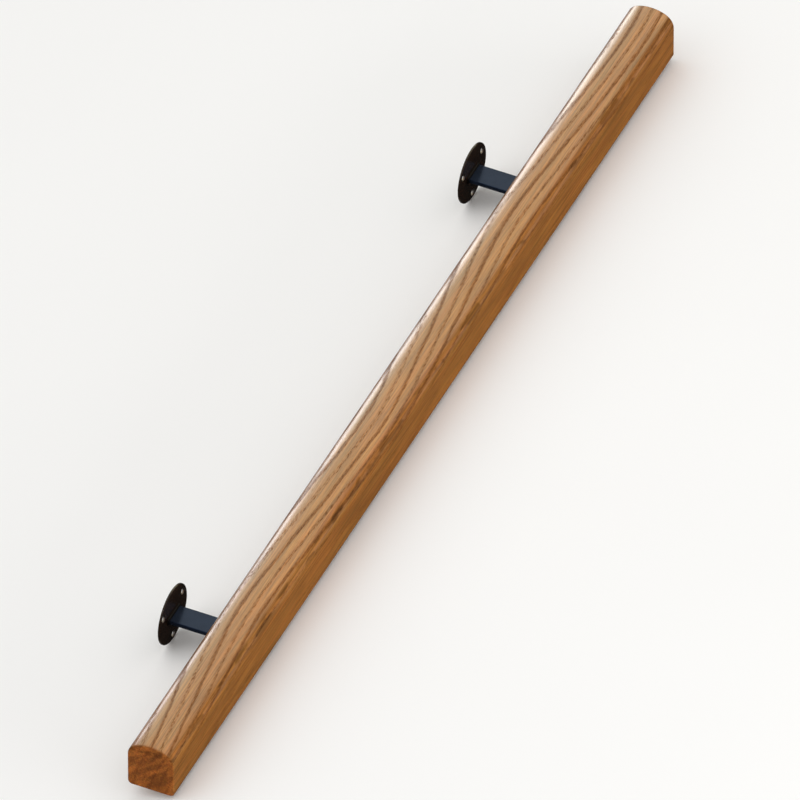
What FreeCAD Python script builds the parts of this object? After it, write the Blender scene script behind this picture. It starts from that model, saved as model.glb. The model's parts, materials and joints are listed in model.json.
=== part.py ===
import FreeCAD, Part
import math
import os

from FreeCAD import Vector

# A length of oak stair handrail carried by two black steel wall brackets, in millimetres.
# It is drawn as it hangs: X runs along the rail, Y points at the wall, Z is up, and the origin
# lies under the middle of the rail's flat underside. At the end it is laid down as it rests unheld.

# Oak rail
rail_length = 1200.0
rail_width = 51.0  # from its back, at the wall side, to its front
rail_height = 59.0
crown_rise = 10.0  # how far the arched top rises across the whole width
shoulder_radius = 17.0  # rounds the arched top into the upright sides
underside_radius = 5.0  # long lower edges
rail_end_radius = 1.5  # eased edges of the two sawn ends

# Where the brackets hold the rail
bracket_inset = 242.0  # from each end of the rail to the middle of its bracket
wall_gap = 65.0  # room for the hand, from the wall to the back of the rail

# Wall flange, a round plate
flange_diameter = 65.0
flange_thickness = 2.0
flange_edge_radius = 0.6
wall_hole_count = 3
wall_hole_circle = 52.0
wall_hole_diameter = 6.0
wall_countersink_diameter = 8.0

# Support bar, a flat bar from the flange to under the rail
bar_width = 25.0
bar_thickness = 5.0
bar_setback = 6.0  # how far its tip stays behind the front of the rail
bar_corner_radius = 4.0
bar_edge_radius = 0.6
weld_leg = 2.0  # fillet weld round the foot of the bar

# Countersunk wood screws, two for each bar, driven up into the rail
screw_diameter = 4.5
screw_length = 30.0
screw_tip_length = 4.0
screw_head_diameter = 9.0
screw_head_sink = 0.2  # how far the head lies inside the bar's lower face
screw_inset = 14.5  # from each side of the rail to the nearer screw
screw_clearance = 0.1
recess_span = 5.0  # cross recess in the head
recess_width = 1.0
recess_depth = 1.8

# Places that follow from the sizes
rail_front = -rail_width / 2
wall_face = rail_width / 2 + wall_gap
flange_front = wall_face - flange_thickness
flange_middle = -bar_thickness / 2
bar_tip = rail_front + bar_setback
bar_underside = -bar_thickness
head_face = bar_underside + screw_head_sink

LENGTHWAYS = Vector(1, 0, 0)
TO_WALL = Vector(0, 1, 0)
UP = Vector(0, 0, 1)
QUARTER_TURN = math.pi / 2
FULL_TURN = 2 * math.pi
SMALL = 1e-6


def carve(solid, tools):
    """What is left of a solid when every tool is taken out of it, as one solid."""
    return solid.cut(tools).Solids[0]


def section_arc(centre_y, centre_z, radius, start, end):
    """Circular edge across the rail, from one angle to another, in radians from the wall side."""
    angles = (start, (start + end) / 2, end)
    points = [Vector(0, centre_y + radius * math.cos(a), centre_z + radius * math.sin(a)) for a in angles]
    return Part.Arc(*points).toShape()


def rail_section():
    """Flat underside, upright sides, round shoulders and an arched top, as one closed wire."""
    half = rail_width / 2
    crown_radius = (half**2 + crown_rise**2) / (2 * crown_rise)
    crown_centre = rail_height - crown_radius
    shoulder_y = half - shoulder_radius
    shoulder_rise = math.sqrt((crown_radius - shoulder_radius) ** 2 - shoulder_y**2)
    shoulder_z = crown_centre + shoulder_rise
    shoulder_sweep = math.atan2(shoulder_rise, shoulder_y)
    corner_y = half - underside_radius
    arcs = [
        section_arc(corner_y, underside_radius, underside_radius, -QUARTER_TURN, 0),
        section_arc(shoulder_y, shoulder_z, shoulder_radius, 0, shoulder_sweep),
        section_arc(0, crown_centre, crown_radius, shoulder_sweep, math.pi - shoulder_sweep),
        section_arc(-shoulder_y, shoulder_z, shoulder_radius, math.pi - shoulder_sweep, math.pi),
        section_arc(-corner_y, underside_radius, underside_radius, math.pi, math.pi + QUARTER_TURN),
    ]
    edges = []
    for this_arc, next_arc in zip(arcs, arcs[1:] + arcs[:1]):
        edges.append(this_arc)
        leave = this_arc.Vertexes[-1].Point
        meet = next_arc.Vertexes[0].Point
        if leave.distanceToPoint(meet) > SMALL:
            edges.append(Part.makeLine(leave, meet))
    return Part.Wire(edges)


def screw_rows():
    """The two places across the rail where a bar is screwed to it, one near each side."""
    reach = rail_width / 2 - screw_inset
    return [reach, -reach]


def make_rail(bracket_places):
    """The section carried along the length, its ends eased, with the holes that the screws cut."""
    rail = Part.Face(rail_section()).extrude(LENGTHWAYS * rail_length)
    rail.translate(LENGTHWAYS * (-rail_length / 2))
    end_edges = [edge for edge in rail.Edges if edge.BoundBox.XLength < SMALL]
    rail = rail.makeFillet(rail_end_radius, end_edges)
    hole_radius = screw_diameter / 2 + screw_clearance
    hole_depth = head_face + screw_length + screw_clearance
    holes = [
        Part.makeCylinder(hole_radius, hole_depth, Vector(bracket_x, screw_y, 0), UP)
        for bracket_x in bracket_places
        for screw_y in screw_rows()
    ]
    return carve(rail, holes)


def make_flange(x):
    """Round plate against the wall, its front rim eased, with countersunk holes on a circle."""
    radius = flange_diameter / 2
    flange = Part.makeCylinder(radius, flange_thickness, Vector(x, flange_front, flange_middle), TO_WALL)
    front_rim = [edge for edge in flange.Edges if abs(edge.BoundBox.YMax - flange_front) < SMALL]
    flange = flange.makeFillet(flange_edge_radius, front_rim)
    hole_radius = wall_hole_diameter / 2
    sink_radius = wall_countersink_diameter / 2
    holes = []
    for i in range(wall_hole_count):
        angle = i * FULL_TURN / wall_hole_count - QUARTER_TURN
        across = Vector(math.cos(angle), 0, math.sin(angle)) * (wall_hole_circle / 2)
        mouth = Vector(x, flange_front, flange_middle) + across
        holes.append(Part.makeCylinder(hole_radius, flange_thickness, mouth, TO_WALL))
        holes.append(Part.makeCone(sink_radius, hole_radius, sink_radius - hole_radius, mouth, TO_WALL))
    return carve(flange, holes)


def make_bar(x):
    """Flat bar from the flange to under the rail, with a rounded tip and countersunk screw holes."""
    length = flange_front - bar_tip
    bar = Part.makeBox(bar_width, length, bar_thickness, Vector(x - bar_width / 2, bar_tip, bar_underside))
    upright_edges = [edge for edge in bar.Edges if edge.BoundBox.ZLength > SMALL]
    tip_corners = [edge for edge in upright_edges if edge.BoundBox.YMax < bar_tip + SMALL]
    bar = bar.makeFillet(bar_corner_radius, tip_corners)
    level_edges = [edge for edge in bar.Edges if edge.BoundBox.ZLength < SMALL]
    free_edges = [edge for edge in level_edges if edge.BoundBox.YMin < flange_front - SMALL]
    bar = bar.makeFillet(bar_edge_radius, free_edges)
    hole_radius = screw_diameter / 2 + screw_clearance
    sink_radius = screw_head_diameter / 2 + screw_clearance + screw_head_sink
    holes = []
    for screw_y in screw_rows():
        mouth = Vector(x, screw_y, bar_underside)
        holes.append(Part.makeCylinder(hole_radius, bar_thickness, mouth, UP))
        holes.append(Part.makeCone(sink_radius, hole_radius, sink_radius - hole_radius, mouth, UP))
    return carve(bar, holes)


def foot_outline(y, margin):
    """Rectangle round the bar's section, wider than it by a margin on each side."""
    half = bar_width / 2 + margin
    low = bar_underside - margin
    high = margin
    corners = [Vector(-half, y, low), Vector(half, y, low), Vector(half, y, high), Vector(-half, y, high)]
    return Part.makePolygon(corners + corners[:1])


def make_weld(x, bar):
    """Sloping weld that runs round the foot of the bar and joins it to the flange."""
    outlines = [foot_outline(flange_front, weld_leg), foot_outline(flange_front - weld_leg, 0)]
    slope = Part.makeLoft(outlines, True, True)
    slope.translate(LENGTHWAYS * x)
    return carve(slope, [bar])


def make_screw(x, y):
    """Countersunk wood screw, turned about its own axis, with a cross recess in its head."""
    head_radius = screw_head_diameter / 2
    shank_radius = screw_diameter / 2
    tip = head_face + screw_length
    half_profile = [
        Vector(0, 0, head_face),
        Vector(head_radius, 0, head_face),
        Vector(shank_radius, 0, head_face + head_radius - shank_radius),
        Vector(shank_radius, 0, tip - screw_tip_length),
        Vector(0, 0, tip),
    ]
    outline = Part.Face(Part.makePolygon(half_profile + half_profile[:1]))
    screw = outline.revolve(Vector(0, 0, 0), UP, math.degrees(FULL_TURN))
    recess = [
        Part.makeBox(span, width, recess_depth, Vector(-span / 2, -width / 2, head_face))
        for span, width in ((recess_span, recess_width), (recess_width, recess_span))
    ]
    screw = carve(screw, recess)
    screw.translate(Vector(x, y, 0))
    return screw


def resting_lean():
    """Angle, in radians, by which the hung rail leans forward when it lies on a level floor.

    It rocks on the front rims of the flanges until the tips of the bars, or else the rail's own
    front edge, come down on the floor, whichever meets it first.
    """
    rim_y = flange_front + flange_edge_radius
    rim_z = flange_middle - flange_diameter / 2 + flange_edge_radius
    feet = [
        (bar_tip + bar_edge_radius, bar_underside + bar_edge_radius, bar_edge_radius),
        (rail_front + underside_radius, underside_radius, underside_radius),
    ]
    leans = []
    for foot_y, foot_z, foot_radius in feet:
        across = rim_y - foot_y
        rise = foot_z - rim_z
        turn = math.asin((flange_edge_radius - foot_radius) / math.hypot(across, rise))
        leans.append(math.atan2(rise, across) + turn)
    return min(leans)


def lay_down(pieces):
    """Lean every piece by the same angle, then set the whole on the floor, centred over the origin."""
    for shape in pieces.values():
        shape.rotate(Vector(0, 0, 0), LENGTHWAYS, math.degrees(resting_lean()))
    box = Part.makeCompound(list(pieces.values())).optimalBoundingBox(False, False)
    for shape in pieces.values():
        shape.translate(Vector(-box.Center.x, -box.Center.y, -box.ZMin))


bracket_reach = rail_length / 2 - bracket_inset
bracket_places = {"left": -bracket_reach, "right": bracket_reach}
pieces = {"oak_rail": make_rail(bracket_places.values())}
for side, bracket_x in bracket_places.items():
    bar = make_bar(bracket_x)
    pieces[f"{side}_wall_flange"] = make_flange(bracket_x)
    pieces[f"{side}_support_bar"] = bar
    pieces[f"{side}_weld"] = make_weld(bracket_x, bar)
    for row, screw_y in zip(("back", "front"), screw_rows()):
        pieces[f"{side}_{row}_screw"] = make_screw(bracket_x, screw_y)
lay_down(pieces)

os.makedirs("parts", exist_ok=True)
for name, shape in pieces.items():
    shape.exportStep(f"parts/{name}.step")
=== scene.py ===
"""A stair handrail length of solid oak on two black steel wall brackets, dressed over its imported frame.

Meshes are in metres, in the frame's own axes: X along the rail, Z up, and the part lying on the floor as it
comes to rest, leaning on the tips of its bars and on the front rims of its wall flanges. Materials read
millimetres along the rail, towards the wall and above the rail's underside. A ramp's name stands for its low
and its high, and for its start and its end where they aren't 0 and 1.
"""
import json
import math

import bpy
import numpy as np
from mathutils import Matrix


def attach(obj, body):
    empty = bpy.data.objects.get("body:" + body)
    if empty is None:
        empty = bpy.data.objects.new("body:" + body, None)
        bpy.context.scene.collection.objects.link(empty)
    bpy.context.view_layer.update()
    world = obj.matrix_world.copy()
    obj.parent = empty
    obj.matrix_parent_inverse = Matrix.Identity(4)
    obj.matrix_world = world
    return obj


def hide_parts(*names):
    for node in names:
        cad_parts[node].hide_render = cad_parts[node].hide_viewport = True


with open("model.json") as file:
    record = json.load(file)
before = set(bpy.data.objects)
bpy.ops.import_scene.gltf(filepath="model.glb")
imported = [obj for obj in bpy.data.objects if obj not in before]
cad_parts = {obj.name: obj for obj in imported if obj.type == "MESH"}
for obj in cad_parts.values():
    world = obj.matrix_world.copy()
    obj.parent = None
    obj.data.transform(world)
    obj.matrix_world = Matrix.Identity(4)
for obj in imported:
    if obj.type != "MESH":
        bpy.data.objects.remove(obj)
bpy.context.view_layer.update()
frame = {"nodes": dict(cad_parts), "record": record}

# Oak rail.
# One straight length of solid oak, planed flat below and at the sides, crowned on top, its ends eased.
# It is finished with a clear satin lacquer, and the darker end grain shows broad slanted bands.
MM = 0.001
rail_length = 1200 * MM
rail_width = 51 * MM
rail_height = 59 * MM
rail_crown_rise = 10 * MM
rail_shoulder_radius = 17 * MM
rail_underside_radius = 5 * MM
rail_end_radius = 1.5 * MM
rail_end_lap = 1 * MM
wall_gap = 65 * MM
bar_thickness = 5 * MM
corner_points = 9
shoulder_points = 25
crown_points = 33
flat_shares = np.array([[0.03], [0.5], [0.97]])
end_stations = 9
body_stations = 61

mounts = {mount["name"]: mount for mount in frame["record"]["mounts"]}
along_rail = np.array([1.0, 0.0, 0.0])
to_wall = np.array(mounts["left_wall_face"]["axis"])
above_rail = np.cross(along_rail, to_wall)
lean = math.atan2(to_wall[2], to_wall[1])
wall_faces = np.array([mounts["left_wall_face"]["pos_m"], mounts["right_wall_face"]["pos_m"]])
rail_foot = wall_faces.mean(axis=0) - to_wall * (rail_width / 2 + wall_gap) + above_rail * bar_thickness / 2


def place_on_part(points):
    """Points given along the rail, towards the wall and above the rail's underside, in the frame's axes."""
    return rail_foot + points @ np.stack([along_rail, to_wall, above_rail])


def arc_points(centre, radius, start, end, count):
    """Points on a circular arc: the centre plus the radius at evenly spaced angles from start to end."""
    angles = np.linspace(start, end, count)
    return np.stack([centre[0] + radius * np.cos(angles), centre[1] + radius * np.sin(angles)], axis=1)


def rail_section(inset):
    """The rail's section, shrunk evenly by the inset: two small arcs below, two shoulders and a crown.

    The crown is the circle through the top and the two points one crown rise below it at the full width.
    Each shoulder is tangent to its side and to the crown, so their two centres are in line with the joint.
    Points near the ends of each flat run keep the shading of the flats flat.
    """
    half = rail_width / 2
    crown_radius = (half ** 2 + rail_crown_rise ** 2) / (2 * rail_crown_rise)
    crown_centre = rail_height - crown_radius
    shoulder_y = half - rail_shoulder_radius
    shoulder_rise = math.sqrt((crown_radius - rail_shoulder_radius) ** 2 - shoulder_y ** 2)
    shoulder_z = crown_centre + shoulder_rise
    sweep = math.atan2(shoulder_rise, shoulder_y)
    corner_y = half - rail_underside_radius
    corner = rail_underside_radius - inset
    shoulder = rail_shoulder_radius - inset
    crown = crown_radius - inset
    runs = [
        arc_points((-corner_y, rail_underside_radius), corner, math.pi, 1.5 * math.pi, corner_points),
        arc_points((corner_y, rail_underside_radius), corner, 1.5 * math.pi, 2 * math.pi, corner_points),
        arc_points((shoulder_y, shoulder_z), shoulder, 0, sweep, shoulder_points),
        arc_points((0, crown_centre), crown, sweep, math.pi - sweep, crown_points)[1:-1],
        arc_points((-shoulder_y, shoulder_z), shoulder, math.pi - sweep, math.pi, shoulder_points),
    ]
    flat_after = [True, True, False, False, True]
    outline = []
    for number, run in enumerate(runs):
        outline.append(run)
        if flat_after[number]:
            following = runs[(number + 1) % len(runs)][0]
            outline.append(run[-1] + flat_shares * (following - run[-1]))
    return np.concatenate(outline)


def ring_faces(rings, count, closed=False):
    """Quads of a tube of rings, each ring a closed run of the same number of points."""
    ring, step = np.meshgrid(np.arange(rings if closed else rings - 1), np.arange(count), indexing="ij")
    after = (step + 1) % count
    beyond = (ring + 1) % rings
    corners = [ring * count + step, ring * count + after, beyond * count + after, beyond * count + step]
    return np.stack(corners, axis=-1).reshape(-1, 4).tolist()


def smooth_piece(name, points, faces):
    """A mesh piece from an array of points and a list of faces, shaded smooth."""
    mesh = bpy.data.meshes.new(name)
    mesh.from_pydata(points.tolist(), [], faces)
    mesh.polygons.foreach_set("use_smooth", np.ones(len(mesh.polygons), dtype=bool))
    mesh.update()
    piece = bpy.data.objects.new(name, mesh)
    bpy.context.scene.collection.objects.link(piece)
    return piece


def make_rail():
    """The section carried along X: at each end it draws in on a quarter circle, then closes flat on a point.

    The end_grain attribute is the share of the quarter circle that the section has drawn in.
    """
    turn = np.linspace(math.pi / 2, 0, end_stations)
    ease_x = np.concatenate([[0], rail_end_radius * (1 - np.sin(turn))])
    ease_inset = np.concatenate([[rail_end_radius + rail_end_lap], rail_end_radius * (1 - np.cos(turn))])
    body_x = np.linspace(ease_x[-1], rail_length - ease_x[-1], body_stations)[1:-1]
    x = np.concatenate([ease_x, body_x, rail_length - ease_x[::-1]]) - rail_length / 2
    inset = np.concatenate([ease_inset, np.zeros_like(body_x), ease_inset[::-1]])
    sections = np.stack([rail_section(step) for step in inset])
    rings, count = sections.shape[:2]
    stations = np.broadcast_to(x[:, None, None], (rings, count, 1))
    tube = np.concatenate([stations, sections], axis=2).reshape(-1, 3)
    tips = np.array([[x[0], 0, rail_height / 2], [x[-1], 0, rail_height / 2]])
    step = np.arange(count)
    after = (step + 1) % count
    first_tip = rings * count
    last = (rings - 1) * count
    near_cap = np.stack([after, step, np.full(count, first_tip)], axis=1).tolist()
    far_cap = np.stack([last + step, last + after, np.full(count, first_tip + 1)], axis=1).tolist()
    points = place_on_part(np.concatenate([tube, tips]))
    piece = smooth_piece("lacquered_oak_rail", points, ring_faces(rings, count) + near_cap + far_cap)
    end_grain = np.repeat(np.clip(inset / rail_end_radius, 0, 1), count)
    end_grain = np.concatenate([end_grain, np.ones(len(tips))])
    piece.data.attributes.new("end_grain", "FLOAT", "POINT").data.foreach_set("value", end_grain)
    return piece


def add_node(tree, kind, inputs=None, **settings):
    """One shader node with its settings; an input is given by name or number, as a value or a link."""
    made = tree.nodes.new(kind)
    for key, value in settings.items():
        setattr(made, key, value)
    for key, value in (inputs or {}).items():
        if isinstance(value, bpy.types.NodeSocket):
            tree.links.new(value, made.inputs[key])
        else:
            made.inputs[key].default_value = value
    return made


def reckon(tree, operation, first, second=0.0, third=0.0):
    """The result of one Math node on up to three values or links."""
    return add_node(tree, "ShaderNodeMath", {0: first, 1: second, 2: third}, operation=operation).outputs[0]


def stretched(tree, place, sizes):
    """The place divided by a size in each direction, so that a pattern of unit size gets those sizes."""
    shrink = tuple(1 / size for size in sizes)
    return add_node(tree, "ShaderNodeVectorMath", {0: place, 1: shrink}, operation="MULTIPLY").outputs[0]


def cloud(tree, place, sizes, detail=2.0):
    """Soft noise around one half, with lumps of the given sizes."""
    at = stretched(tree, place, sizes)
    return add_node(tree, "ShaderNodeTexNoise", {"Vector": at, "Scale": 1.0, "Detail": detail}).outputs[0]


def cell_distance(tree, place, sizes):
    """The distance to the nearest of scattered points, whose cells have the given sizes."""
    at = stretched(tree, place, sizes)
    return add_node(tree, "ShaderNodeTexVoronoi", {"Vector": at, "Scale": 1.0}).outputs["Distance"]


def ramp(tree, value, low, high, start=0.0, end=1.0):
    """A smooth step from start to end as the value goes from low to high."""
    levels = {"Value": value, "From Min": low, "From Max": high, "To Min": start, "To Max": end}
    return add_node(tree, "ShaderNodeMapRange", levels, interpolation_type="SMOOTHSTEP").outputs[0]


def blend_colour(tree, share, first, second, blend_type="MIX"):
    """Two colours blended by a share: mixed, or the first multiplied by the second."""
    inputs = {0: share, 6: first, 7: second}
    return add_node(tree, "ShaderNodeMix", inputs, data_type="RGBA", blend_type=blend_type).outputs[2]


def toned(tree, colour, tone):
    """A colour times a tone, which is the same for red, green and blue."""
    grey = add_node(tree, "ShaderNodeCombineColor", {0: tone, 1: tone, 2: tone}).outputs[0]
    return blend_colour(tree, 1.0, colour, grey, "MULTIPLY")


def part_place(tree):
    """Millimetres along the rail, towards the wall and above its underside, from Object coordinates."""
    setting = {
        "Vector": add_node(tree, "ShaderNodeTexCoord").outputs["Object"],
        "Location": tuple(rail_foot),
        "Rotation": (lean, 0, 0),
        "Scale": (MM, MM, MM),
    }
    return add_node(tree, "ShaderNodeMapping", setting, vector_type="TEXTURE").outputs[0]


def new_material(name):
    """A material with an empty node tree."""
    material = bpy.data.materials.new(name)
    material.use_nodes = True
    material.node_tree.nodes.clear()
    return material, material.node_tree


def finish_surface(tree, inputs):
    """The material's one shader, with its inputs, joined to the output."""
    shader = add_node(tree, "ShaderNodeBsdfPrincipled", inputs)
    add_node(tree, "ShaderNodeOutputMaterial", {"Surface": shader.outputs[0]})


# Colours of the wood
oak_late_wood = (0.330, 0.119, 0.0225, 1)
oak_late_wood_yellow = (0.317, 0.130, 0.0245, 1)
oak_early_wood = (0.205, 0.070, 0.012, 1)
oak_pore = (0.105, 0.034, 0.006, 1)
oak_end_tint = (1.08, 0.81, 0.50, 1)
# Pith and growth rings, in millimetres
pith_to_wall = -110.0
pith_height = -20.0
pith_rise = 0.0295
sway_length = 625.0
sway_start = -538.0
sway_reach = 12.0
sway_sharpness = 0.9
ring_width = 8.9
ring_offset = 1.62
ring_wander = ((210, 60, 60), 2.0, 3.5)  # sizes of the lumps, their detail, and how far they push the ring
ring_quiver = ((48, 14, 14), 2.0, 2.4)
ring_fray = ((10, 1.3, 1.3), 3.0, 2.2)
season_length = 15.0
season_reach = 0.3
# Early wood, over one ring from the pith outwards, and its pores
early_rise = (0.0, 0.17)
early_fall = (0.17, 0.56, 1.0, 0.0)
ring_strengths = (0.0, 1.0, 0.32, 0.95)
sides_top = 40.0
shoulder_top = 50.0
early_above_sides = (sides_top, shoulder_top, 0.45, 1.0)
early_in_end_grain = (0.0, 1.0, 1.0, 0.6)
pore_sizes = (6.0, 0.9, 0.9)
pore_edge = (0.30, 0.52, 1.0, 0.0)
pore_crowding = (0.1, 0.8, 0.12, 1.0)
pore_stain = 0.55
# Hues and tones along the grain, and painted shade along the shoulders
hue_lumps = (160, 5, 5)
hue_change = (0.3, 0.7)
fibre_lumps = (45, 1.2, 1.2)
fibre_detail = 4.0
fibre_tones = (0.25, 0.75, 0.72, 1.24)
streak_lumps = (95, 2.6, 2.6)
streak_tones = (0.3, 0.7, 0.84, 1.12)
patch_lumps = (420, 30, 30)
patch_tones = (0.25, 0.75, 0.90, 1.08)
smudge_lumps = (30, 9, 9)
smudge_detail = 3.0
smudge_edge = (0.46, 0.60)
smudge_reach = (1.0, 5.0, 1.0, 0.0)
smudge_tones = (0.0, 1.0, 1.0, 0.62)
# Painted shade: the wood is toned darker within a few millimetres of the shoulder line
shoulder_painted_shade_tones = (3.0, 10.0, 0.92, 1.0)
# Bands of the end grain
end_band_slant = math.radians(45)
end_band_lumps = (24, 42, 9)
end_band_tones = (0.34, 0.62, 0.62, 1.2)
# Relief, gloss and lacquer
pore_depth = 0.8
fibre_height = 0.3
wood_relief = 0.15 * MM
wood_relief_strength = 0.5
wood_roughness = 0.45
pore_roughness = 0.2
wood_sheen = 0.1
lacquer_roughness = 0.22
lacquer_refraction = 1.55
lacquer_loss = 0.92
early_wood_thirst = 0.9


def make_oak():
    """Oak as a solid: the growth rings are the distance from the pith line, cut open by the surface.

    The pith runs beside the rail, straight but for a sway: the arcsine of a sine, which draws two long hills
    along the crown. Each ring starts with dark porous early wood and fades to pale late wood, and is fainter
    on the sides. The pores are thin dashes along the rail, which the end grain shows as dots. Dark smudges
    lie along the shoulders, and the end grain has slanted bands. The lacquer is thin over all open wood.
    """
    material, tree = new_material("satin_lacquered_oak")
    place = part_place(tree)
    along, across, height = add_node(tree, "ShaderNodeSeparateXYZ", {0: place}).outputs
    turns = reckon(tree, "MULTIPLY", reckon(tree, "SUBTRACT", along, sway_start), 2 * math.pi / sway_length)
    sway = reckon(tree, "ARCSINE", reckon(tree, "MULTIPLY", reckon(tree, "SINE", turns), sway_sharpness))
    pith_y = reckon(tree, "MULTIPLY_ADD", along, pith_rise, pith_to_wall)
    pith_y = reckon(tree, "MULTIPLY_ADD", sway, sway_reach, pith_y)
    from_pith_y = reckon(tree, "SUBTRACT", across, pith_y)
    from_pith_z = reckon(tree, "SUBTRACT", height, pith_height)
    square = reckon(tree, "POWER", from_pith_z, 2.0)
    radius = reckon(tree, "SQRT", reckon(tree, "MULTIPLY_ADD", from_pith_y, from_pith_y, square))
    for lumps, detail, reach in (ring_wander, ring_quiver, ring_fray):
        push = reckon(tree, "SUBTRACT", cloud(tree, place, lumps, detail), 0.5)
        radius = reckon(tree, "MULTIPLY_ADD", push, reach, radius)
    seasons = {"W": reckon(tree, "DIVIDE", radius, season_length), "Scale": 1.0}
    season = add_node(tree, "ShaderNodeTexNoise", seasons, noise_dimensions="1D").outputs[0]
    rings = reckon(tree, "MULTIPLY_ADD", season, season_reach, reckon(tree, "DIVIDE", radius, ring_width))
    rings = reckon(tree, "ADD", rings, ring_offset)
    phase = reckon(tree, "FRACT", rings)
    number = {"W": reckon(tree, "FLOOR", rings)}
    ring_tone = add_node(tree, "ShaderNodeTexWhiteNoise", number, noise_dimensions="1D").outputs["Value"]

    end_grain = add_node(tree, "ShaderNodeAttribute", attribute_name="end_grain").outputs["Fac"]
    on_top = reckon(tree, "MAXIMUM", ramp(tree, height, *early_above_sides), end_grain)
    early = reckon(tree, "MULTIPLY", ramp(tree, phase, *early_rise), ramp(tree, phase, *early_fall))
    early = reckon(tree, "MULTIPLY", early, on_top)
    early = reckon(tree, "MULTIPLY", early, ramp(tree, end_grain, *early_in_end_grain))
    early_share = reckon(tree, "MULTIPLY", early, ramp(tree, ring_tone, *ring_strengths))
    pore_spots = ramp(tree, cell_distance(tree, place, pore_sizes), *pore_edge)
    pores = reckon(tree, "MULTIPLY", pore_spots, ramp(tree, early, *pore_crowding))
    hue = ramp(tree, cloud(tree, place, hue_lumps), *hue_change)
    late_wood = blend_colour(tree, hue, oak_late_wood, oak_late_wood_yellow)
    colour = blend_colour(tree, early_share, late_wood, oak_early_wood)
    colour = blend_colour(tree, reckon(tree, "MULTIPLY", pores, pore_stain), colour, oak_pore)

    fibre = cloud(tree, place, fibre_lumps, fibre_detail)
    patch_tone = ramp(tree, cloud(tree, place, patch_lumps), *patch_tones)
    streak_tone = ramp(tree, cloud(tree, place, streak_lumps), *streak_tones)
    from_shoulder = reckon(tree, "ABSOLUTE", reckon(tree, "SUBTRACT", height, shoulder_top))
    smudge = ramp(tree, cloud(tree, place, smudge_lumps, smudge_detail), *smudge_edge)
    smudge = reckon(tree, "MULTIPLY", smudge, ramp(tree, from_shoulder, *smudge_reach))
    smudge_tone = ramp(tree, smudge, *smudge_tones)
    # Painted shade along the shoulders: a darker tone near their line
    painted_shoulder_shade = ramp(tree, from_shoulder, *shoulder_painted_shade_tones)
    tone = ramp(tree, fibre, *fibre_tones)
    for further in (patch_tone, streak_tone, smudge_tone, painted_shoulder_shade):
        tone = reckon(tree, "MULTIPLY", tone, further)
    colour = toned(tree, colour, tone)

    slant = {"Vector": place, "Rotation": (end_band_slant, 0, 0)}
    slanted = add_node(tree, "ShaderNodeMapping", slant).outputs[0]
    end_tone = ramp(tree, cloud(tree, slanted, end_band_lumps), *end_band_tones)
    end_colour = toned(tree, blend_colour(tree, 1.0, colour, oak_end_tint, "MULTIPLY"), end_tone)
    open_wood = reckon(tree, "MAXIMUM", reckon(tree, "MULTIPLY", early_share, early_wood_thirst), smudge)
    open_wood = reckon(tree, "MAXIMUM", pores, open_wood)
    relief = reckon(tree, "MULTIPLY_ADD", pores, -pore_depth, reckon(tree, "MULTIPLY", fibre, fibre_height))
    bumps = {"Height": relief, "Distance": wood_relief, "Strength": wood_relief_strength}
    finish_surface(tree, {
        "Base Color": blend_colour(tree, end_grain, colour, end_colour),
        "Roughness": reckon(tree, "MULTIPLY_ADD", pores, pore_roughness, wood_roughness),
        "Specular IOR Level": wood_sheen,
        "Coat Weight": reckon(tree, "MULTIPLY_ADD", open_wood, -lacquer_loss, 1.0),
        "Coat Roughness": lacquer_roughness,
        "Coat IOR": lacquer_refraction,
        "Normal": add_node(tree, "ShaderNodeBump", bumps).outputs[0],
    })
    return material


oak = make_oak()
rail = make_rail()
rail.data.materials.append(oak)
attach(rail, "root")
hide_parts("oak_rail")

# Wall flanges.
# Two flat steel discs, cut and drilled with three countersunk holes each, that are screwed to the wall.
# They carry a smooth semi-gloss black coating, thin at the rims and scraped to dull steel in the holes.
# Their black is tinted brown as a painted reflection of the oak rail that the discs face.
flange_inset = wall_faces[1, 0] / MM  # the sizes of a flange are in millimetres, for its material
flange_middle_height = -bar_thickness / 2 / MM
flange_rim = 32.5
hole_circle_radius = 26.0
hole_spacing = 2 * math.pi / 3
lowest_hole = -math.pi / 2
sink_radius = 4.0
sink_edge = (sink_radius - 0.15, sink_radius + 0.1, 1.0, 0.0)
edge_band = 0.7
rim_edge = (flange_rim - edge_band, flange_rim)
rim_wear = 0.33
flange_black_painted_brown_reflection = (0.020, 0.0105, 0.006, 1)
coating_sheen_tint = (1, 1, 1, 1)
flange_roughness = 0.22
flange_refraction = 1.36
bare_steel = (0.30, 0.28, 0.265, 1)
bare_steel_roughness = 0.38
peel_lumps = (1.1, 1.1, 1.1)
peel_detail = 1.0
flow_lumps = (14, 14, 14)
flow_tones = (0.25, 0.75, 0.85, 1.2)
flow_roughness = 0.16
nib_spacing = (5, 5, 5)
nib_edge = (0.04, 0.10, 1.0, 0.0)
nib_height = 0.8
skin_relief = 0.04 * MM
skin_relief_strength = 0.4
wear_lumps = (3.0, 3.0, 3.0)
wear_detail = 4.0
wear_edge = (0.95, 1.10)


def new_group(name, inputs, outputs):
    """A shader node group with named inputs and outputs, and its two end nodes."""
    group = bpy.data.node_groups.new(name, "ShaderNodeTree")
    for socket_name, kind in inputs:
        group.interface.new_socket(socket_name, in_out="INPUT", socket_type=kind)
    for socket_name, kind in outputs:
        group.interface.new_socket(socket_name, in_out="OUTPUT", socket_type=kind)
    return group, add_node(group, "NodeGroupInput"), add_node(group, "NodeGroupOutput")


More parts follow.
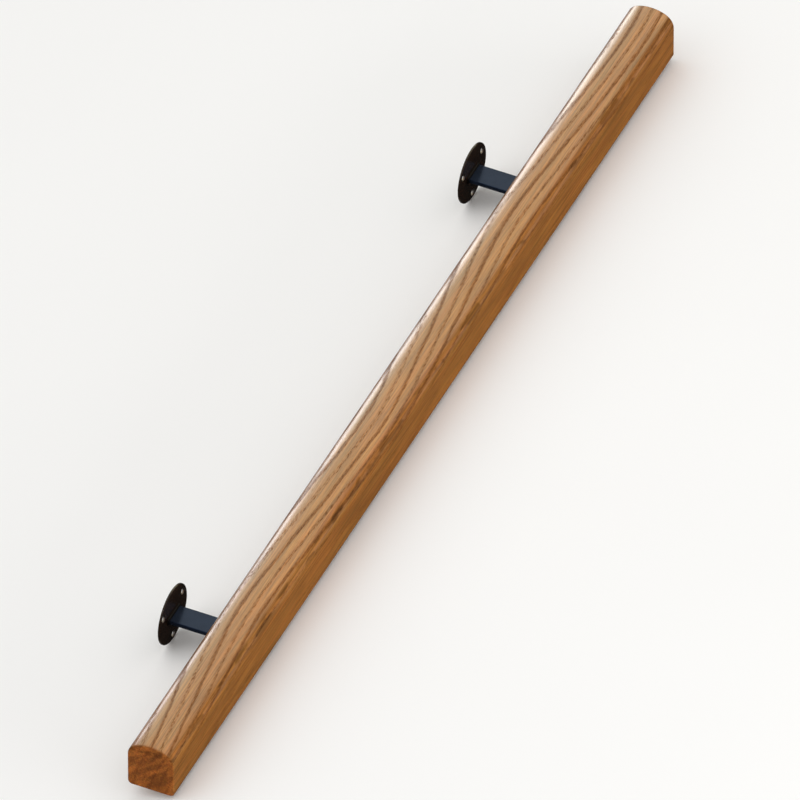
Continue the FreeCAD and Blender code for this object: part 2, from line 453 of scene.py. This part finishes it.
def make_coating_skin():
    """The skin of a sprayed coating: fine orange peel, slow flow marks and a few dust nibs."""
    inputs = [("Place", "NodeSocketVector"), ("Gloss Roughness", "NodeSocketFloat")]
    outputs = [("Height", "NodeSocketFloat"), ("Roughness", "NodeSocketFloat"), ("Tone", "NodeSocketFloat")]
    group, given, result = new_group("sprayed_coating_skin", inputs, outputs)
    place = given.outputs["Place"]
    peel = cloud(group, place, peel_lumps, peel_detail)
    flow = cloud(group, place, flow_lumps)
    nib = ramp(group, cell_distance(group, place, nib_spacing), *nib_edge)
    flow_change = reckon(group, "SUBTRACT", flow, 0.5)
    gloss = given.outputs["Gloss Roughness"]
    made = {
        "Height": reckon(group, "MULTIPLY_ADD", nib, nib_height, peel),
        "Roughness": reckon(group, "MULTIPLY_ADD", flow_change, flow_roughness, gloss),
        "Tone": ramp(group, flow, *flow_tones),
    }
    for socket_name, value in made.items():
        group.links.new(value, result.inputs[socket_name])
    return group


def make_rubbed_edge():
    """Bare metal where a coating is rubbed through: an edge mask broken up by noise."""
    inputs = [("Place", "NodeSocketVector"), ("Edge", "NodeSocketFloat"), ("Amount", "NodeSocketFloat")]
    group, given, result = new_group("rubbed_edge", inputs, [("Bare", "NodeSocketFloat")])
    breakup = cloud(group, given.outputs["Place"], wear_lumps, wear_detail)
    reach = reckon(group, "MULTIPLY", given.outputs["Edge"], given.outputs["Amount"])
    bare = ramp(group, reckon(group, "ADD", reach, breakup), *wear_edge)
    group.links.new(bare, result.inputs["Bare"])
    return group


coating_skin = make_coating_skin()
rubbed_edge = make_rubbed_edge()


def grouped(tree, group, inputs):
    """A node group placed in a tree, with its inputs set, as its outputs."""
    return add_node(tree, "ShaderNodeGroup", inputs, node_tree=group).outputs


def bracket_axes(tree, place):
    """Millimetres outward along the rail from the nearer bracket's middle, and above it."""
    axes = add_node(tree, "ShaderNodeSeparateXYZ", {0: place}).outputs
    outward = reckon(tree, "SUBTRACT", reckon(tree, "ABSOLUTE", axes["X"]), flange_inset)
    return outward, reckon(tree, "SUBTRACT", axes["Z"], flange_middle_height)


def blend_value(tree, share, first, second):
    """Two values mixed by a share."""
    return add_node(tree, "ShaderNodeMix", {0: share, 2: first, 3: second}, data_type="FLOAT").outputs[0]


def coated_steel(tree, place, colour, bare, roughness, sheen_tint, refraction):
    """Black coating over steel, with the bare metal where the mask says."""
    skin = grouped(tree, coating_skin, {"Place": place, "Gloss Roughness": roughness})
    bumps = {"Height": skin["Height"], "Distance": skin_relief, "Strength": skin_relief_strength}
    finish_surface(tree, {
        "Base Color": blend_colour(tree, bare, toned(tree, colour, skin["Tone"]), bare_steel),
        "Metallic": bare,
        "Roughness": blend_value(tree, bare, skin["Roughness"], bare_steel_roughness),
        "IOR": refraction,
        "Specular Tint": sheen_tint,
        "Normal": add_node(tree, "ShaderNodeBump", bumps).outputs[0],
    })


def make_flange_coating():
    """Black coating on a disc: bare steel inside the countersinks, and rubbed spots along the rim.

    The distance to the nearest hole comes from the polar angle folded over the three holes: its square is
    the radius squared, plus the hole circle's radius squared, less twice both radii times the cosine.
    """
    material, tree = new_material("black_coated_flange")
    place = part_place(tree)
    outward, height = bracket_axes(tree, place)
    angle = reckon(tree, "ADD", reckon(tree, "ARCTAN2", height, outward), 2 * math.pi - lowest_hole)
    folded = reckon(tree, "PINGPONG", angle, hole_spacing / 2)
    square = reckon(tree, "POWER", reckon(tree, "ABSOLUTE", height), 2.0)
    square = reckon(tree, "MULTIPLY_ADD", outward, outward, square)
    radius = reckon(tree, "SQRT", square)
    reach = reckon(tree, "MULTIPLY", reckon(tree, "COSINE", folded), radius)
    squares = reckon(tree, "ADD", square, hole_circle_radius ** 2)
    gap_square = reckon(tree, "MULTIPLY_ADD", reach, -2 * hole_circle_radius, squares)
    from_hole = reckon(tree, "SQRT", reckon(tree, "MAXIMUM", gap_square, 0.0))
    sink = ramp(tree, from_hole, *sink_edge)
    rim = ramp(tree, radius, *rim_edge)
    rubbed = grouped(tree, rubbed_edge, {"Place": place, "Edge": rim, "Amount": rim_wear})["Bare"]
    bare = reckon(tree, "MAXIMUM", sink, rubbed)
    # The coating's brown tint is a painted reflection of the oak rail
    coated_steel(tree, place, flange_black_painted_brown_reflection, bare, flange_roughness, coating_sheen_tint, flange_refraction)
    return material


flange_coating = make_flange_coating()
for side in ("left", "right"):
    frame["nodes"][side + "_wall_flange"].material_slots[0].material = flange_coating

# Support bars.
# Flat steel bar, sawn to length with its tip corners rounded, that runs from each flange under the rail.
# It has the same black coating, laid a little thicker, with a painted cool reflection: blue in its black and
# in its sheen tint.
bar_half_width = 12.5  # in millimetres too
bar_half_thickness = bar_thickness / 2 / MM
bar_side_edge = (bar_half_width - edge_band, bar_half_width)
bar_face_edge = (bar_half_thickness - edge_band, bar_half_thickness)
bar_wear = 0.38
# Painted reflection: the blue in the bar's black and in its sheen tint stands in for cool light reflected
# from above
bar_black_painted_blue = (0.0095, 0.0140, 0.0240, 1)
bar_painted_blue_sheen_tint = (0.18, 0.36, 0.95, 1)
bar_roughness = 0.18
bar_refraction = 1.36


def make_bar_coating():
    """Black coating on flat bar: the edge mask is where both the width and the thickness run out."""
    material, tree = new_material("black_coated_bar")
    place = part_place(tree)
    outward, height = bracket_axes(tree, place)
    side_edge = ramp(tree, reckon(tree, "ABSOLUTE", outward), *bar_side_edge)
    face_edge = ramp(tree, reckon(tree, "ABSOLUTE", height), *bar_face_edge)
    edge = reckon(tree, "MULTIPLY", side_edge, face_edge)
    rubbed = grouped(tree, rubbed_edge, {"Place": place, "Edge": edge, "Amount": bar_wear})["Bare"]
    # The bar's blue black and blue sheen tint are a painted cool reflection
    coated_steel(tree, place, bar_black_painted_blue, rubbed, bar_roughness, bar_painted_blue_sheen_tint, bar_refraction)
    return material


bar_coating = make_bar_coating()
for side in ("left", "right"):
    frame["nodes"][side + "_support_bar"].material_slots[0].material = bar_coating

# Weld beads.
# One run of weld round the foot of each bar, which joins it to its flange, under a dull black coating.
# Its black is darker than the flange's, as painted shade at the bar's foot.
# The bead is convex, with the close ripples that the pool leaves as it moves.
weld_leg = 2 * MM
weld_bulge = 0.06
weld_sink = 0.3 * MM
weld_ripple_length = 1.7 * MM
weld_ripple_rise = 0.045
weld_ripple_bow = 1.1
weld_swell_count = 5
weld_swell_rise = 0.03
weld_points_along = 360
weld_points_across = 11
bar_edge_radius = 0.6 * MM
bar_corner_points = 7
flange_thickness = 2 * MM
flange_front = rail_width / 2 + wall_gap - flange_thickness
weld_black_painted_shade = (0.0050, 0.0040, 0.0038, 1)
weld_roughness = 0.5
weld_refraction = 1.2


def bar_foot(count):
    """The bar's rectangular outline with rounded corners, as evenly spaced points and outward directions."""
    reach_x = bar_half_width * MM - bar_edge_radius
    reach_z = bar_half_thickness * MM - bar_edge_radius
    quarter = np.linspace(0, math.pi / 2, bar_corner_points)
    turns = np.concatenate([quarter, quarter + math.pi / 2, quarter + math.pi, quarter + 1.5 * math.pi])
    signs = np.repeat(np.array([[1, 1], [-1, 1], [-1, -1], [1, -1]]), len(quarter), axis=0)
    heading = np.stack([np.cos(turns), np.sin(turns)], axis=1)
    corners = signs * np.array([reach_x, reach_z]) + bar_edge_radius * heading
    corners = np.concatenate([corners, corners[:1]])
    heading = np.concatenate([heading, heading[:1]])
    run = np.concatenate([[0], np.cumsum(np.linalg.norm(np.diff(corners, axis=0), axis=1))])
    at = np.linspace(0, run[-1], count, endpoint=False)
    points = np.stack([np.interp(at, run, corners[:, axis]) for axis in (0, 1)], axis=1)
    outward = np.stack([np.interp(at, run, heading[:, axis]) for axis in (0, 1)], axis=1)
    return at, points, outward / np.linalg.norm(outward, axis=1, keepdims=True)


def make_weld(side, middle):
    """A quarter round carried round the bar's foot; its radius swells and dips with the ripples on the run.

    The bulge, the ripples and the slower swells all fade to nothing at the two toes of the bead. Behind the
    toes the section closes through the corner, sunk a little into the bar and the flange.
    """
    at, foot, outward = bar_foot(weld_points_along)
    turn = np.linspace(0, math.pi / 2, weld_points_across)[None, :]
    belly = np.sin(2 * turn)
    wave = 2 * math.pi * at[:, None] / weld_ripple_length + weld_ripple_bow * belly
    slow = np.sin(2 * math.pi * weld_swell_count * at / at[-1])[:, None]
    swell = 1 + (weld_bulge + weld_ripple_rise * np.sin(wave) + weld_swell_rise * slow) * belly
    across = weld_leg * swell * np.cos(turn)
    off = weld_leg * swell * np.sin(turn)
    sunk = np.full((len(at), 1), -weld_sink)
    across = np.concatenate([across, sunk, sunk, across[:, :1]], axis=1)
    off = np.concatenate([off, off[:, -1:], sunk, sunk], axis=1)
    plan = foot[:, None, :] + across[:, :, None] * outward[:, None, :]
    height = plan[..., 1] + flange_middle_height * MM
    points = np.stack([plan[..., 0] + middle, flange_front - off, height], axis=-1)
    rings, count = points.shape[:2]
    faces = ring_faces(rings, count, closed=True)
    return smooth_piece(side + "_weld_bead", place_on_part(points.reshape(-1, 3)), faces)


def make_weld_coating():
    """Black coating over weld, dull because the ripples hold it thin."""
    material, tree = new_material("black_coated_weld")
    place = part_place(tree)
    # The weld's black, darker than the flange's, is painted shade where the bar meets the flange
    coated_steel(tree, place, weld_black_painted_shade, 0.0, weld_roughness, coating_sheen_tint, weld_refraction)
    return material


weld_coating = make_weld_coating()
for side, middle in (("left", -flange_inset * MM), ("right", flange_inset * MM)):
    weld = make_weld(side, middle)
    weld.data.materials.append(weld_coating)
    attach(weld, "root")
    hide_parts(side + "_weld")

# Rail screws.
# Four zinc-plated countersunk screws with cross recesses, driven up through the bars into the rail.
# Only their heads show, under the bars, with turning marks and a faint yellow cast in the plating.
zinc = (0.60, 0.59, 0.55, 1)
zinc_dull = (0.36, 0.34, 0.30, 1)
dull_lumps = (2.2, 2.2, 2.2)
dull_detail = 3.0
dull_edge = (0.35, 0.7)
zinc_roughness = (0.3, 0.75, 0.28, 0.48)
turning_marks = (0.25, 0.25, 3.0)
turning_relief = 0.02 * MM
turning_relief_strength = 0.5


def make_zinc():
    """Zinc plate: metal with fine turning marks and dull patches."""
    material, tree = new_material("zinc_plated_screw")
    place = part_place(tree)
    dullness = cloud(tree, place, dull_lumps, dull_detail)
    marks = cloud(tree, place, turning_marks)
    bumps = {"Height": marks, "Distance": turning_relief, "Strength": turning_relief_strength}
    finish_surface(tree, {
        "Base Color": blend_colour(tree, ramp(tree, dullness, *dull_edge), zinc, zinc_dull),
        "Metallic": 1.0,
        "Roughness": ramp(tree, dullness, *zinc_roughness),
        "Normal": add_node(tree, "ShaderNodeBump", bumps).outputs[0],
    })
    return material


zinc_plate = make_zinc()
for side in ("left", "right"):
    for row in ("back", "front"):
        frame["nodes"][side + "_" + row + "_screw"].material_slots[0].material = zinc_plate

# Floor, light and camera.
# A plain pale floor under a pale dome that fades towards the floor's level, a softbox whose warm sheen lies
# on the crown, a soft fill from the front and a panel behind, whose light runs along the back shoulder.
# The camera looks down along the rail through a very long lens.
floor_reach = 14.0
floor_pale = (0.945, 0.945, 0.94, 1)
floor_mottle = (0.5, 0.5, 0.5)
floor_tones = (0.2, 0.8, 0.985, 1.0)
floor_roughness = 0.8
floor_sheen = 0.2
dome_pale = (1.0, 0.995, 0.985, 1)
dome_fade = (0.08, 0.42, 0.02, 0.98)
front_glow_foot = (-0.48, -0.36)
front_glow_top = (-0.20, -0.06, 1.0, 0.0)
front_glow = (-0.55, -0.25, 0.4, 0.0)
back_glow = (0.30, 0.50, 0.0, 0.55)
back_glow_top = (-0.10, 0.0, 1.0, 0.0)
back_glow_side = (-0.2, 0.2)
softbox_place = np.array([1.2528, 0.2248, 1.0371])
softbox_facing = np.array([0.639, -0.047, 0.768])
softbox_size = (2.8, 1.9)
softbox_radiance = 1.3
softbox_colour = (1.0, 0.95, 0.54)
fill_place = np.array([-0.5, -3.0, 0.4])
fill_size = (4.0, 0.8)
fill_radiance = 5.9
back_panel_place = np.array([1.2, 1.2053, 0.4870])
back_panel_facing = np.array([0.695, 0.667, 0.268])
back_panel_size = (1.1, 0.80)
back_panel_radiance = 6.2
back_panel_beam = math.radians(56)
camera_turn = math.radians(24.8)
camera_tilt = math.radians(43.1)
camera_frame_width = 0.804
camera_lens = 1500.0
camera_sensor = 36.0
camera_aim_right = -4.0 * MM
camera_aim_up = -5.8 * MM
camera_sight = 4.0  # in distances from the camera to the part


def turned_like(right, up, toward, middle):
    """A placing matrix whose X, Y and Z axes are the given right, up and toward directions."""
    columns = np.eye(4)
    columns[:3, :4] = np.stack([right, up, toward, middle], axis=1)
    return Matrix(columns.tolist())


def make_floor():
    """A flat square of floor with a faint mottle."""
    corners = floor_reach * np.array([[-1, -1, 0], [1, -1, 0], [1, 1, 0], [-1, 1, 0]])
    floor = smooth_piece("studio_floor", corners, [[0, 1, 2, 3]])
    material, tree = new_material("pale_studio_floor")
    coordinates = add_node(tree, "ShaderNodeTexCoord").outputs["Object"]
    tone = ramp(tree, cloud(tree, coordinates, floor_mottle), *floor_tones)
    finish_surface(tree, {
        "Base Color": toned(tree, floor_pale, tone),
        "Roughness": floor_roughness,
        "Specular IOR Level": floor_sheen,
    })
    floor.data.materials.append(material)
    floor.visible_glossy = False
    return floor


def make_dome():
    """A pale dome that fades towards the floor's level, with two faint glows in place of the floor's light.

    One glow is a band below the level in front of the rail. The other lies behind it, towards its far end.
    """
    world = bpy.data.worlds.new("studio_dome")
    world.use_nodes = True
    tree = world.node_tree
    tree.nodes.clear()
    way = add_node(tree, "ShaderNodeTexCoord").outputs["Generated"]
    along, back, up = add_node(tree, "ShaderNodeSeparateXYZ", {0: way}).outputs
    in_front = reckon(tree, "MULTIPLY", ramp(tree, up, *front_glow_foot), ramp(tree, up, *front_glow_top))
    in_front = reckon(tree, "MULTIPLY", in_front, ramp(tree, back, *front_glow))
    behind = reckon(tree, "MULTIPLY", ramp(tree, back, *back_glow), ramp(tree, up, *back_glow_top))
    behind = reckon(tree, "MULTIPLY", behind, ramp(tree, along, *back_glow_side))
    strength = reckon(tree, "ADD", ramp(tree, up, *dome_fade), in_front)
    strength = reckon(tree, "ADD", strength, behind)
    background = add_node(tree, "ShaderNodeBackground", {"Color": dome_pale, "Strength": strength})
    add_node(tree, "ShaderNodeOutputWorld", {"Surface": background.outputs[0]})
    return world


def make_panel(name, place, facing, size, radiance, colour, beam=math.pi):
    """A rectangular light panel that shines against the facing direction, its long side level.

    Its energy is the radiance times pi times the area, times one less the half beam over its tangent.
    """
    panel = bpy.data.lights.new(name, "AREA")
    panel.shape = "RECTANGLE"
    panel.size, panel.size_y = size
    panel.color = colour
    panel.spread = beam
    beam_share = 1 - beam / 2 / math.tan(beam / 2)
    panel.energy = radiance * math.pi * size[0] * size[1] * beam_share
    toward = facing / np.linalg.norm(facing)
    level = np.cross([0, 0, 1], toward)
    level = level / np.linalg.norm(level)
    piece = bpy.data.objects.new(name, panel)
    piece.matrix_world = turned_like(level, np.cross(toward, level), toward, place)
    piece.visible_camera = False
    bpy.context.scene.collection.objects.link(piece)
    return piece


make_floor()
bpy.context.scene.world = make_dome()
softbox = make_panel("softbox", softbox_place, softbox_facing, softbox_size, softbox_radiance, softbox_colour)
softbox.visible_diffuse = False
fill = make_panel("front_fill", fill_place, fill_place, fill_size, fill_radiance, dome_pale[:3])
fill.visible_glossy = False
back_panel = make_panel("back_panel", back_panel_place, back_panel_facing, back_panel_size,
                        back_panel_radiance, dome_pale[:3], back_panel_beam)
back_panel.visible_diffuse = False

to_front = -to_wall
view_right = math.cos(camera_turn) * to_front + math.sin(camera_turn) * along_rail
view_level = math.sin(camera_turn) * to_front - math.cos(camera_turn) * along_rail
view_back = math.cos(camera_tilt) * view_level + math.sin(camera_tilt) * above_rail
view_up = np.cross(view_back, view_right)
camera_distance = camera_frame_width * camera_lens / camera_sensor
camera_aim = place_on_part(np.array([[0, 0, rail_height / 2]]))[0]
camera_aim = camera_aim + camera_aim_right * view_right + camera_aim_up * view_up
camera_place = camera_aim + view_back * camera_distance
camera = bpy.data.cameras.new("camera")
camera.lens = camera_lens
camera.sensor_width = camera_sensor
camera.clip_end = camera_sight * camera_distance
camera_object = bpy.data.objects.new("camera", camera)
camera_object.matrix_world = turned_like(view_right, view_up, view_back, camera_place)
bpy.context.scene.collection.objects.link(camera_object)
bpy.context.scene.camera = camera_object
bpy.context.scene.view_settings.view_transform = "Standard"
